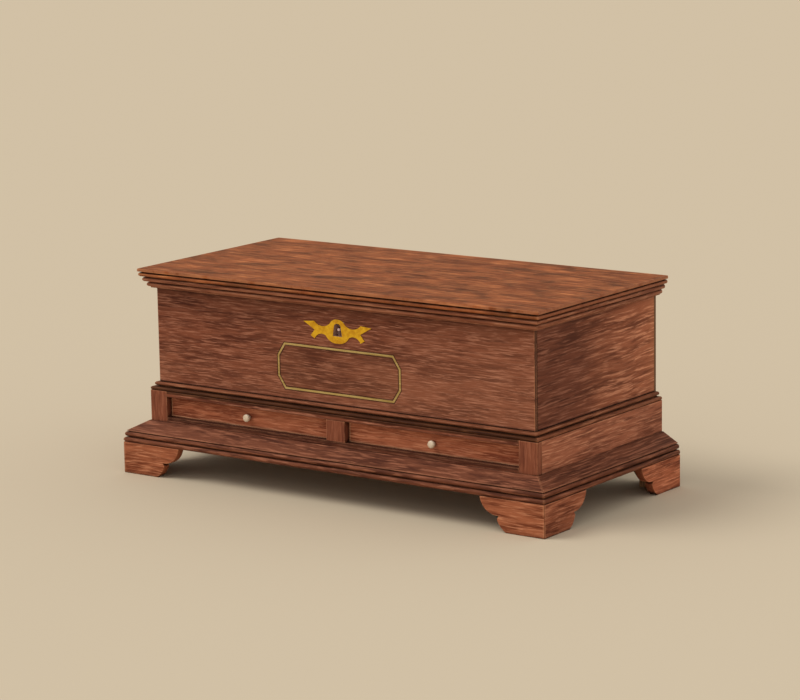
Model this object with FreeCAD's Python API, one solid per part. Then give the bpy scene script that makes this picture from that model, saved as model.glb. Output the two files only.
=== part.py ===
"""A mule chest: a lidded chest on a wider case of two drawers, with moulded edges and bracket feet.

Millimetres. X runs along the front, the front faces -Y, and Z is up. The origin is on the ground, below the
middle of the whole chest, hinge knuckles and base moulding included.
"""
import FreeCAD, Part
import os
from math import radians, tan

Vector = FreeCAD.Vector

# Upper chest
CASE_WIDTH = 1300.0
CASE_DEPTH = 620.0
CASE_BOARD = 22.0
CORNER_LIP = 10.0        # front and back boards, left over the ends of the side boards
FLOOR_THICKNESS = 18.0
FLOOR_HOUSING = 8.0      # how far the chest floor is let into the boards round it

# Heights seen on the front, from the ground up
FOOT_HEIGHT = 92.0
BASE_HEIGHT = 60.0
DRAWER_CASE_HEIGHT = 90.0
WAIST_HEIGHT = 23.0
CHEST_FACE_HEIGHT = 277.0
LID_MOULDING_HEIGHT = 34.0
LID_THICKNESS = 23.0

# Reeds, the rounded bands that every moulding is made up of
REED_SWELL = 4.0         # how far the middle of a reed stands out from its edges
QUIRK_HEIGHT = 3.0       # the groove beside a reed
QUIRK_DEPTH = 4.0

# Lid and its mouldings, outward from the face of the chest
LID_OVERHANG = 40.0
LID_TOP_ROUND = 3.0
LID_REED_OUT = 38.0
LID_REED_HEIGHT = 11.0
LID_UPPER_REED_OUT = 30.0
LID_LOWER_REED_OUT = 21.0
LID_FILLET_OUT = 13.0
LID_FILLET = 4.0
LID_CLEARANCE = 1.2

# Waist moulding
WAIST_UPPER_REED_OUT = 11.0

# Drawer case
DRAWER_CASE_STEP = 20.0  # how far it stands out from the face of the chest, at the front and the sides
DRAWER_CASE_SIDE = 32.0
DRAWER_CASE_BACK = 22.0
FRAME_THICKNESS = 22.0
STILE_WIDTH = 60.0
CENTRE_STILE_WIDTH = 64.0
TOP_RAIL_HEIGHT = 16.0
TOP_RAIL_DEPTH = 70.0
BOTTOM_RAIL_SHOW = 14.0  # height of the bottom rail above the base moulding
TENON_LENGTH = 25.0
TENON_THICKNESS = 8.0
TENON_SHOULDER = 3.0
STUB_TENON = 8.0
RUNNER_THICKNESS = 20.0
RUNNER_LEDGE = 35.0
GUIDE_HEIGHT = 35.0

# Drawers
DRAWER_RECESS = 20.0     # how far the drawer fronts stand back from the face of the frame
DRAWER_GAP = 1.5
DRAWER_TOP_GAP = 2.5
DRAWER_RUN_CLEARANCE = 0.3
DRAWER_FRONT = 20.0
DRAWER_SIDE = 12.0
DRAWER_SIDE_DROP = 4.0
DRAWER_BACK = 12.0
DRAWER_BACK_DROP = 4.0
DRAWER_REAR_SPACE = 12.0
DRAWER_BOTTOM = 8.0
DRAWER_BOTTOM_RISE = 6.0
DRAWER_GROOVE = 5.0
TAIL_DEPTH = 13.0
TAIL_COUNT = 2
TAIL_SLOPE = 10.0        # degrees

# Knobs
KNOB_RADIUS = 11.0
KNOB_RIM = 5.0
KNOB_BEVEL = 4.5
KNOB_FACE_RADIUS = 6.0
KNOB_NECK = 9.0
KNOB_NECK_RADIUS = 6.0
KNOB_SHANK_RADIUS = 4.0

# Base moulding and feet
BASE_OUT = 79.0
BASE_REED_HEIGHT = 13.0
BASE_UPPER_REED_OUT = 76.0
BASE_SLOPE_OUT = 73.0
BASE_SLOPE_TOP = 4.0     # shelf left between the drawer case and the slope
BASE_SEAT = 26.0         # height of the rebate that the drawer case stands in
BASE_INSET = 30.0        # how far the base frame reaches in from the face of the chest
FOOT_BOARD = 24.0
FOOT_LENGTH = 207.0
FOOT_PAD = 123.0
FOOT_BULGE = 3.0
FOOT_SHOULDER = 152.0
FOOT_SHOULDER_Z = 35.0
FOOT_CUSP = 146.0
FOOT_CUSP_Z = 44.0
BACK_BRACKET_LENGTH = 170.0
BACK_BRACKET_TOE = 90.0
FOOT_BLOCK = 60.0
FOOT_BLOCK_LIFT = 4.0

# Hinges
HINGE_PLACE = 400.0      # from the middle of the chest
HINGE_WIDTH = 60.0
HINGE_LEAF = 2.5
HINGE_LID_STRAP = 100.0
HINGE_BACK_STRAP = 80.0
KNUCKLE_RADIUS = 5.0
KNUCKLE_STANDOFF = 1.0
KNUCKLE_CLEARANCE = 0.6
PIN_RADIUS = 2.5
PIN_CLEARANCE = 0.4
PIN_END = 2.0
NAIL_SHANK = 3.0
NAIL_LENGTH = 12.0
NAIL_HEAD = 8.0
NAIL_HEAD_HEIGHT = 2.2

# Lock and keyhole plate
KEYHOLE_DROP = 98.0      # from the top of the case to the middle of the keyhole
KEYHOLE_WIDTH = 32.0
KEYHOLE_TOP_WIDTH = 22.0
KEYHOLE_HEIGHT = 36.0
PLATE_THICKNESS = 1.6
PLATE_HALF_WIDTH = 118.0
PLATE_HALF_HEIGHT = 38.0
PLATE_PIN_SHANK = 1.8
PLATE_PIN_LENGTH = 10.0
PLATE_PIN_HEAD = 4.0
PLATE_PIN_HEIGHT = 0.9
LOCK_WIDTH = 110.0
LOCK_BELOW_KEY = 40.0
LOCK_DEPTH = 26.0
KEY_WELL_RADIUS = 20.0
KEY_WELL_DEPTH = 20.0
KEY_PIN_RADIUS = 4.0
KEY_PIN_SHY = 4.0        # how far the key pin ends behind the face of the chest
STAPLE_WIDTH = 14.0
STAPLE_THICKNESS = 4.0
STAPLE_DROP = 28.0
STAPLE_EYE_WIDTH = 7.0
STAPLE_EYE_HEIGHT = 14.0
STAPLE_PLATE_LENGTH = 50.0
STAPLE_PLATE = 2.5
STAPLE_CLEARANCE = 2.5
BOLT_THICKNESS = 5.0
BOLT_HEIGHT = 9.0
BOLT_LENGTH = 30.0
BOLT_ARM = 14.0
BOLT_THROW = 14.0
BOLT_CLEARANCE = 0.3

# Line let into the front, an oblong with cut corners
LINE_WIDTH = 5.5
LINE_DEPTH = 2.0
LINE_LENGTH = 425.0
LINE_HEIGHT = 132.0
LINE_CORNER_X = 24.0
LINE_CORNER_Z = 36.0
LINE_DROP = 217.0        # from the top of the case to the middle of the oblong

# Levels
BASE_Z = FOOT_HEIGHT
SEAT_Z = BASE_Z + BASE_SEAT
BASE_TOP_Z = BASE_Z + BASE_HEIGHT
WAIST_Z = BASE_TOP_Z + DRAWER_CASE_HEIGHT
WAIST_TOP_Z = WAIST_Z + WAIST_HEIGHT
LID_MOULDING_Z = WAIST_TOP_Z + CHEST_FACE_HEIGHT
LID_Z = LID_MOULDING_Z + LID_MOULDING_HEIGHT
TOP_Z = LID_Z + LID_THICKNESS
OPENING_Z = BASE_TOP_Z + BOTTOM_RAIL_SHOW
OPENING_TOP_Z = WAIST_Z - TOP_RAIL_HEIGHT
KEYHOLE_Z = LID_Z - KEYHOLE_DROP
LINE_Z = LID_Z - LINE_DROP

# Places in plan
HINGE_OUT = KNUCKLE_STANDOFF + KNUCKLE_RADIUS
FRONT_Y = (BASE_OUT - HINGE_OUT - KNUCKLE_RADIUS - CASE_DEPTH) / 2
BACK_Y = FRONT_Y + CASE_DEPTH
CASE_X = CASE_WIDTH / 2
INSIDE_X = CASE_X - CASE_BOARD
INSIDE_FRONT_Y = FRONT_Y + CASE_BOARD
INSIDE_BACK_Y = BACK_Y - CASE_BOARD
LOWER_X = CASE_X + DRAWER_CASE_STEP
LOWER_INSIDE_X = LOWER_X - DRAWER_CASE_SIDE
LOWER_Y = FRONT_Y - DRAWER_CASE_STEP
FRAME_BACK_Y = LOWER_Y + FRAME_THICKNESS
LOWER_BACK_Y = BACK_Y - DRAWER_CASE_BACK
OPENING_X = LOWER_X - STILE_WIDTH
CENTRE_X = CENTRE_STILE_WIDTH / 2
BASE_X = CASE_X + BASE_OUT
BASE_Y = FRONT_Y - BASE_OUT
SIDES = {"left": -1, "right": 1}


def box(x0, x1, y0, y1, z0, z1):
    """A block between two corners, given in either order along X."""
    low_x = min(x0, x1)
    return Part.makeBox(abs(x1 - x0), y1 - y0, z1 - z0, Vector(low_x, y0, z0))


def outline_face(place, start, steps):
    """A flat face. A step is a point, reached by a line, or two points, an arc through the first."""
    edges = []
    here = start
    closing = [] if steps[-1] == start or steps[-1][-1] == start else [start]
    for step in steps + closing:
        if isinstance(step[0], tuple):
            through, end = step
            edges.append(Part.Arc(place(*here), place(*through), place(*end)).toShape())
        else:
            end = step
            edges.append(Part.LineSegment(place(*here), place(*end)).toShape())
        here = end
    return Part.Face(Part.Wire(edges))


def plan_prism(points):
    """A tall prism on a plan outline, as high as the whole chest."""
    corners = [Vector(x, y, 0) for x, y in points]
    return Part.Face(Part.makePolygon(corners + corners[:1])).extrude(Vector(0, 0, TOP_Z))


def mitred_runs(outline, inner):
    """Front, left and right lengths of one moulding, mitred at the two front corners.

    outline is (start, steps) in out-from-the-chest and height; inner is its least distance out.
    """
    start, steps = outline
    reach = BASE_OUT + LID_OVERHANG
    runs = {}
    front_face = outline_face(lambda out, z: Vector(-CASE_X - reach, FRONT_Y - out, z), start, steps)
    front_plan = [(-CASE_X - inner, FRONT_Y - inner), (CASE_X + inner, FRONT_Y - inner),
                  (CASE_X + reach, FRONT_Y - reach), (-CASE_X - reach, FRONT_Y - reach)]
    front_bar = front_face.extrude(Vector(2 * (CASE_X + reach), 0, 0))
    runs["front"] = front_bar.common(plan_prism(front_plan))
    for name, side in SIDES.items():
        side_face = outline_face(lambda out, z: Vector(side * (CASE_X + out), FRONT_Y - reach, z),
                                 start, steps)
        side_plan = [(side * (CASE_X + inner), FRONT_Y - inner), (side * (CASE_X + reach), FRONT_Y - reach),
                     (side * (CASE_X + reach), BACK_Y), (side * (CASE_X + inner), BACK_Y)]
        side_bar = side_face.extrude(Vector(0, CASE_DEPTH + reach, 0))
        runs[name] = side_bar.common(plan_prism(side_plan))
    return runs


def nail(point, direction, shank_width, length, head_width, head_height):
    """A square wrought nail, its head's underside at point, driven along direction."""
    half_shank = shank_width / 2
    shank = Part.makeBox(shank_width, shank_width, length, Vector(-half_shank, -half_shank, 0))
    wires = []
    for half, height in ((head_width / 2, 0), (half_shank, -head_height)):
        corners = [Vector(x * half, y * half, height) for x, y in ((-1, -1), (1, -1), (1, 1), (-1, 1))]
        wires.append(Part.makePolygon(corners + corners[:1]))
    head = Part.makeLoft(wires, True, True)
    whole = head.fuse(shank).removeSplitter()
    whole.Placement = FreeCAD.Placement(point, FreeCAD.Rotation(Vector(0, 0, 1), direction))
    return whole


def hinge_nail(point, direction):
    """One of the nails that hold a hinge leaf."""
    return nail(point, direction, NAIL_SHANK, NAIL_LENGTH, NAIL_HEAD, NAIL_HEAD_HEIGHT)


def cut_all(shape, *cutters):
    """The shape with every cutter taken out of it."""
    for cutter in cutters:
        shape = shape.cut(cutter)
    return shape


def reed(out, low_z, high_z):
    """A rounded band between two heights: its lower edge, and the arc over its middle to its upper edge."""
    edge = out - REED_SWELL
    return [(edge, low_z), ((out, (low_z + high_z) / 2), (edge, high_z))]


def quirk(out, low_z):
    """The groove next to a reed, where out is the smaller reach of the two bands that it parts."""
    bottom = out - REED_SWELL - QUIRK_DEPTH
    return [(bottom, low_z), (bottom, low_z + QUIRK_HEIGHT)]


def lid_mouldings():
    """A fillet and two reeds, each further out than the one below, and a groove under the lid."""
    reed_height = (LID_MOULDING_HEIGHT - LID_FILLET) / 2 - QUIRK_HEIGHT
    low_z = LID_MOULDING_Z + LID_FILLET
    start = (LID_CLEARANCE, LID_MOULDING_Z)
    steps = [(LID_FILLET_OUT, LID_MOULDING_Z), (LID_FILLET_OUT, low_z)]
    for out in (LID_LOWER_REED_OUT, LID_UPPER_REED_OUT):
        steps += reed(out, low_z, low_z + reed_height)
        steps += quirk(out, low_z + reed_height)
        low_z += reed_height + QUIRK_HEIGHT
    steps.append((LID_CLEARANCE, LID_Z))
    return mitred_runs((start, steps), LID_CLEARANCE)


def waist_mouldings():
    """Two reeds that cover the step between the chest and the drawer case."""
    reed_height = (WAIST_HEIGHT - QUIRK_HEIGHT) / 2
    upper_z = WAIST_TOP_Z - reed_height
    steps = reed(DRAWER_CASE_STEP, WAIST_Z, WAIST_Z + reed_height)
    steps += quirk(WAIST_UPPER_REED_OUT, WAIST_Z + reed_height)
    steps += reed(WAIST_UPPER_REED_OUT, upper_z, WAIST_TOP_Z)
    steps.append((0, WAIST_TOP_Z))
    return mitred_runs(((0, WAIST_Z), steps), 0)


def base_mouldings():
    """A broad slope over two reeds, rebated inside so that the drawer case stands in it."""
    low_z = BASE_Z
    steps = []
    for out in (BASE_OUT, BASE_UPPER_REED_OUT):
        steps += reed(out, low_z, low_z + BASE_REED_HEIGHT)
        steps += quirk(BASE_UPPER_REED_OUT, low_z + BASE_REED_HEIGHT)
        low_z += BASE_REED_HEIGHT + QUIRK_HEIGHT
    steps += [
        (BASE_SLOPE_OUT, low_z),
        (DRAWER_CASE_STEP + BASE_SLOPE_TOP, BASE_TOP_Z),
        (DRAWER_CASE_STEP, BASE_TOP_Z),
        (DRAWER_CASE_STEP, SEAT_Z),
        (-BASE_INSET, SEAT_Z),
    ]
    return mitred_runs(((-BASE_INSET, BASE_Z), steps), -BASE_INSET)


def bracket_outline():
    """A scrolled bracket: a pad that slants out to a shoulder, a cusp, and a lobe up to the moulding.

    Along the face from the corner of the chest, and height.
    """
    half = 0.5 ** 0.5
    pad_middle = ((FOOT_PAD + FOOT_SHOULDER) / 2 + FOOT_BULGE, FOOT_SHOULDER_Z / 2 - FOOT_BULGE)
    lobe_middle = (FOOT_CUSP + (FOOT_LENGTH - FOOT_CUSP) * half,
                   FOOT_HEIGHT - (FOOT_HEIGHT - FOOT_CUSP_Z) * half)
    steps = [
        (FOOT_PAD, 0),
        (pad_middle, (FOOT_SHOULDER, FOOT_SHOULDER_Z)),
        (FOOT_CUSP, FOOT_CUSP_Z),
        (lobe_middle, (FOOT_LENGTH, FOOT_HEIGHT)),
        (0, FOOT_HEIGHT),
    ]
    return (0, 0), steps


def back_bracket(side):
    """The plain board behind a back foot, cut on a slant."""
    outer = BASE_X - FOOT_BOARD
    toe = outer - BACK_BRACKET_TOE
    tip = outer - BACK_BRACKET_LENGTH
    face = outline_face(lambda x, z: Vector(side * x, BACK_Y - FOOT_BOARD, z), (outer, 0),
                        [(toe, 0), (tip, FOOT_HEIGHT), (outer, FOOT_HEIGHT)])
    return face.extrude(Vector(0, FOOT_BOARD, 0))


def feet(parts):
    """Four bracket feet: scrolled boards on the faces that show, plain ones at the back, a block in each."""
    start, steps = bracket_outline()
    reach = 2 * FOOT_BOARD
    front_plan = plan_prism([(-BASE_X + reach, BASE_Y + reach), (BASE_X - reach, BASE_Y + reach),
                             (BASE_X, BASE_Y), (-BASE_X, BASE_Y)])
    blocks = []
    for name, side in SIDES.items():
        front_face = outline_face(lambda s, z: Vector(side * (BASE_X - s), BASE_Y, z), start, steps)
        parts[f"front_{name}_foot_front"] = front_face.extrude(Vector(0, FOOT_BOARD, 0)).common(front_plan)
        side_plan = plan_prism([(side * BASE_X, BASE_Y), (side * (BASE_X - reach), BASE_Y + reach),
                                (side * (BASE_X - reach), BACK_Y), (side * BASE_X, BACK_Y)])
        inward = Vector(-side * FOOT_BOARD, 0, 0)
        side_face = outline_face(lambda s, z: Vector(side * BASE_X, BASE_Y + s, z), start, steps)
        parts[f"front_{name}_foot_side"] = side_face.extrude(inward).common(side_plan)
        rear_face = outline_face(lambda s, z: Vector(side * BASE_X, BACK_Y - s, z), start, steps)
        parts[f"back_{name}_foot_side"] = rear_face.extrude(inward)
        parts[f"back_{name}_foot_back"] = back_bracket(side)
        block_x = side * (BASE_X - FOOT_BOARD)
        block_inner_x = side * (BASE_X - FOOT_BOARD - FOOT_BLOCK)
        front_block_y = BASE_Y + FOOT_BOARD
        back_block_y = BACK_Y - FOOT_BOARD - FOOT_BLOCK
        for block_y in (front_block_y, back_block_y):
            blocks.append(box(block_x, block_inner_x, block_y, block_y + FOOT_BLOCK,
                              FOOT_BLOCK_LIFT, FOOT_HEIGHT))
    parts["foot_blocks"] = Part.makeCompound(blocks)


def lid_edge(out):
    """The moulded edge of the lid from its underside up, where out is the reach of its upper lip."""
    reed_out = out - LID_OVERHANG + LID_REED_OUT
    reed_top_z = LID_Z + LID_REED_HEIGHT
    over = LID_TOP_ROUND * (1 - 0.5 ** 0.5)
    return reed(reed_out, LID_Z, reed_top_z) + quirk(reed_out, reed_top_z) + [
        (out, reed_top_z + QUIRK_HEIGHT),
        (out, TOP_Z - LID_TOP_ROUND),
        ((out - over, TOP_Z - over), (out - LID_TOP_ROUND, TOP_Z)),
    ]


def lid_board():
    """The lid's one board, its front and sides worked to a reed and a lip that meet in a mitre."""
    half_width = CASE_X + LID_OVERHANG
    front_y = FRONT_Y - LID_OVERHANG
    start, steps = mirrored(((0, LID_Z), lid_edge(half_width) + [(0, TOP_Z)]))
    across = outline_face(lambda x, z: Vector(x, front_y, z), start, steps)
    along = outline_face(lambda out, z: Vector(-half_width, FRONT_Y - out, z), (-CASE_DEPTH, LID_Z),
                         lid_edge(LID_OVERHANG) + [(-CASE_DEPTH, TOP_Z)])
    bar = across.extrude(Vector(0, BACK_Y - front_y, 0))
    return bar.common(along.extrude(Vector(2 * half_width, 0, 0))).removeSplitter()


def hinge(centre_x):
    """One hinge: lid leaf, back leaf and pin. The lid turns in the middle knuckle."""
    third = HINGE_WIDTH / 3
    axis_y = BACK_Y + HINGE_OUT
    left = centre_x - HINGE_WIDTH / 2

    def knuckle(x, length, radius):
        """A cylinder on the hinge's axis."""
        return Part.makeCylinder(radius, length, Vector(x, axis_y, LID_Z), Vector(1, 0, 0))

    swing = KNUCKLE_RADIUS + KNUCKLE_CLEARANCE
    middle = left + third
    lid_leaf = box(left, left + HINGE_WIDTH, BACK_Y - HINGE_LID_STRAP, axis_y, LID_Z, LID_Z + HINGE_LEAF)
    lid_leaf = cut_all(lid_leaf, knuckle(left, third, swing), knuckle(middle + third, third, swing))
    lid_knuckle = knuckle(middle + KNUCKLE_CLEARANCE, third - 2 * KNUCKLE_CLEARANCE, KNUCKLE_RADIUS)
    lid_leaf = lid_leaf.fuse(lid_knuckle)
    lid_leaf = lid_leaf.cut(box(left, middle + KNUCKLE_CLEARANCE, BACK_Y, axis_y, LID_Z, LID_Z + HINGE_LEAF))
    lid_leaf = lid_leaf.cut(box(middle + third - KNUCKLE_CLEARANCE, left + HINGE_WIDTH, BACK_Y, axis_y,
                                LID_Z, LID_Z + HINGE_LEAF))
    lid_leaf = lid_leaf.cut(knuckle(left, HINGE_WIDTH, PIN_RADIUS + PIN_CLEARANCE))
    back_leaf = box(left, left + HINGE_WIDTH, BACK_Y, BACK_Y + HINGE_LEAF, LID_Z - HINGE_BACK_STRAP, LID_Z)
    for knuckle_x in (left, middle + third):
        back_leaf = back_leaf.fuse(knuckle(knuckle_x, third, KNUCKLE_RADIUS))
    back_leaf = cut_all(back_leaf, knuckle(middle, third, swing), knuckle(left, HINGE_WIDTH, PIN_RADIUS))
    pin = knuckle(left - PIN_END, HINGE_WIDTH + 2 * PIN_END, PIN_RADIUS)
    return lid_leaf.removeSplitter(), back_leaf.removeSplitter(), pin


def hinges(parts):
    """Both hinges and their nails, let into the lid and nailed on the back."""
    lid_leaves, back_leaves, pins, lid_nails, back_nails = [], [], [], [], []
    for side in SIDES.values():
        centre_x = side * HINGE_PLACE
        lid_leaf, back_leaf, pin = hinge(centre_x)
        strap_in = HINGE_LID_STRAP - CASE_BOARD
        for share in (0.3, 0.8):
            for across in (-0.3, 0.3):
                x = centre_x + across * HINGE_WIDTH
                lid_point = Vector(x, INSIDE_BACK_Y - share * strap_in, LID_Z)
                back_point = Vector(x, BACK_Y + HINGE_LEAF, LID_Z - share * HINGE_BACK_STRAP)
                lid_nails.append(hinge_nail(lid_point, Vector(0, 0, 1)))
                back_nails.append(hinge_nail(back_point, Vector(0, -1, 0)))
        lid_leaves.append(lid_leaf)
        back_leaves.append(back_leaf)
        pins.append(pin)
    parts["lid_hinge_nails"] = Part.makeCompound(lid_nails)
    parts["back_hinge_nails"] = Part.makeCompound(back_nails)
    parts["lid_hinge_leaves"] = Part.makeCompound([cut_all(leaf, *lid_nails) for leaf in lid_leaves])
    parts["back_hinge_leaves"] = Part.makeCompound([cut_all(leaf, *back_nails) for leaf in back_leaves])
    parts["hinge_pins"] = Part.makeCompound(pins)
    parts["lid_board"] = cut_all(parts["lid_board"], *lid_leaves, *lid_nails)
    parts["back_board"] = cut_all(parts["back_board"], *back_nails)


def keyhole_face(y):
    """The keyhole's outline at a given Y: narrower at its rounded top."""
    half = KEYHOLE_WIDTH / 2
    top_half = KEYHOLE_TOP_WIDTH / 2
    low = -KEYHOLE_HEIGHT / 2
    shoulder = KEYHOLE_HEIGHT / 2 - top_half / 2
    crown = ((0, KEYHOLE_HEIGHT / 2), (-top_half, shoulder))
    return outline_face(lambda x, z: Vector(x, y, KEYHOLE_Z + z), (-half, low),
                        [(half, low), (top_half, shoulder), crown])


def mirrored(right):
    """A symmetrical outline, from one end of its middle line round the given right half and back."""
    start, steps = right
    ends = [start] + [step[1] if isinstance(step[0], tuple) else step for step in steps]
    left = []
    for step, end in reversed(list(zip(steps, ends))):
        end = (-end[0], end[1])
        if isinstance(step[0], tuple):
            through = step[0]
            left.append(((-through[0], through[1]), end))
        else:
            left.append(end)
    return start, steps + left


def keyhole_plate(parts):
    """A sheet-brass plate, a wing and a claw on each side, pierced by the keyhole and held by four pins."""
    wide = PLATE_HALF_WIDTH
    high = PLATE_HALF_HEIGHT
    right = [
        ((0.14 * wide, 0.68 * high), (0.22 * wide, 0.43 * high)),
        ((0.40 * wide, 0.18 * high), (0.68 * wide, 0.50 * high)),
        (wide, 0.41 * high),
        ((0.80 * wide, 0.08 * high), (0.67 * wide, -0.16 * high)),
        (0.79 * wide, -0.60 * high),
        (0.67 * wide, -0.81 * high),
        ((0.52 * wide, -0.42 * high), (0.34 * wide, -0.50 * high)),
        ((0.23 * wide, -0.84 * high), (0, -high)),
    ]
    start, steps = mirrored(((0, 0.78 * high), right))
    outline = outline_face(lambda x, z: Vector(x, FRONT_Y, KEYHOLE_Z + z), start, steps)
    plate = outline.extrude(Vector(0, -PLATE_THICKNESS, 0))
    plate = plate.cut(keyhole_face(FRONT_Y).extrude(Vector(0, -PLATE_THICKNESS, 0)))
    pins = []
    for x, z in ((-0.72, 0.36), (0.72, 0.36), (0, 0.63), (0, -0.74)):
        centre = Vector(x * wide, FRONT_Y - PLATE_THICKNESS, KEYHOLE_Z + z * high)
        pins.append(nail(centre, Vector(0, 1, 0), PLATE_PIN_SHANK, PLATE_PIN_LENGTH,
                         PLATE_PIN_HEAD, PLATE_PIN_HEIGHT))
    parts["keyhole_plate"] = cut_all(plate, *pins)
    parts["keyhole_plate_pins"] = Part.makeCompound(pins)
    keyhole = keyhole_face(FRONT_Y).extrude(Vector(0, CASE_BOARD, 0))
    parts["front_board"] = cut_all(parts["front_board"], keyhole, *pins)


def lock(parts):
    """An iron lock inside the front, whose bolt slides sideways through the eye of a staple on the lid."""
    middle_y = INSIDE_FRONT_Y + LOCK_DEPTH / 2
    staple_foot_z = LID_Z - STAPLE_DROP
    eye_z = staple_foot_z + (STAPLE_WIDTH - STAPLE_EYE_WIDTH) / 2
    bolt_z = eye_z + STAPLE_EYE_HEIGHT / 2

    def across(half_length, width, low_z, high_z):
        """A block centred on the lock's width and depth, between two heights."""
        return box(-half_length, half_length, middle_y - width / 2, middle_y + width / 2, low_z, high_z)

    loop = across(STAPLE_THICKNESS / 2, STAPLE_WIDTH, staple_foot_z, LID_Z)
    eye = across(STAPLE_THICKNESS / 2, STAPLE_EYE_WIDTH, eye_z, eye_z + STAPLE_EYE_HEIGHT)
    plate = across(STAPLE_PLATE_LENGTH / 2, STAPLE_WIDTH, LID_Z, LID_Z + STAPLE_PLATE)
    parts["lock_staple"] = loop.cut(eye).fuse(plate).removeSplitter()
    parts["lid_board"] = parts["lid_board"].cut(plate)

    tip_x = -STAPLE_THICKNESS / 2 - STAPLE_CLEARANCE
    heel_x = tip_x - BOLT_LENGTH
    arm_z = KEYHOLE_Z + KEY_WELL_RADIUS

    def bolt(room, travel):
        """The bolt's head and the arm that the key pushes, with room round them and a length of travel."""
        low_y = middle_y - BOLT_THICKNESS / 2 - room
        high_y = middle_y + BOLT_THICKNESS / 2 + room
        low_z = bolt_z - BOLT_HEIGHT / 2 - room
        high_z = bolt_z + BOLT_HEIGHT / 2 + room
        head = box(heel_x - room, tip_x + travel + room, low_y, high_y, low_z, high_z)
        arm = box(heel_x - room, heel_x + BOLT_ARM + travel + room, low_y, high_y, arm_z - room, high_z)
        return head.fuse(arm).removeSplitter()

    parts["lock_bolt"] = bolt(0, 0)
    case = across(LOCK_WIDTH / 2, LOCK_DEPTH, KEYHOLE_Z - LOCK_BELOW_KEY, LID_Z)
    pocket = across(-tip_x, STAPLE_WIDTH + 2 * STAPLE_CLEARANCE, staple_foot_z - STAPLE_CLEARANCE, LID_Z)
    inward = Vector(0, 1, 0)
    well = Part.makeCylinder(KEY_WELL_RADIUS, KEY_WELL_DEPTH, Vector(0, INSIDE_FRONT_Y, KEYHOLE_Z), inward)
    pin_y = FRONT_Y + KEY_PIN_SHY
    pin_length = INSIDE_FRONT_Y + KEY_WELL_DEPTH - pin_y
    pin = Part.makeCylinder(KEY_PIN_RADIUS, pin_length, Vector(0, pin_y, KEYHOLE_Z), inward)
    case = cut_all(case, bolt(BOLT_CLEARANCE, BOLT_THROW), pocket, well)
    parts["lock_case"] = case.fuse(pin).removeSplitter()


def line_oblong(inset):
    """The oblong with cut corners that the line follows, drawn in by an inset, as deep as the line."""
    half_length = LINE_LENGTH / 2 - inset
    half_height = LINE_HEIGHT / 2 - inset
    slant = (LINE_CORNER_X ** 2 + LINE_CORNER_Z ** 2) ** 0.5
    cut_x = LINE_CORNER_X - inset * (LINE_CORNER_X + LINE_CORNER_Z - slant) / LINE_CORNER_Z
    cut_z = LINE_CORNER_Z - inset * (LINE_CORNER_X + LINE_CORNER_Z - slant) / LINE_CORNER_X
    corner = [(half_length - cut_x, half_height), (half_length, half_height - cut_z)]
    points = []
    for across, up in ((1, 1), (1, -1), (-1, -1), (-1, 1)):
        quarter = [(across * x, up * z) for x, z in corner]
        points += quarter if across == up else quarter[::-1]
    face = outline_face(lambda x, z: Vector(x, FRONT_Y, LINE_Z + z), points[0], points[1:])
    return face.extrude(Vector(0, LINE_DEPTH, 0))


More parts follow.
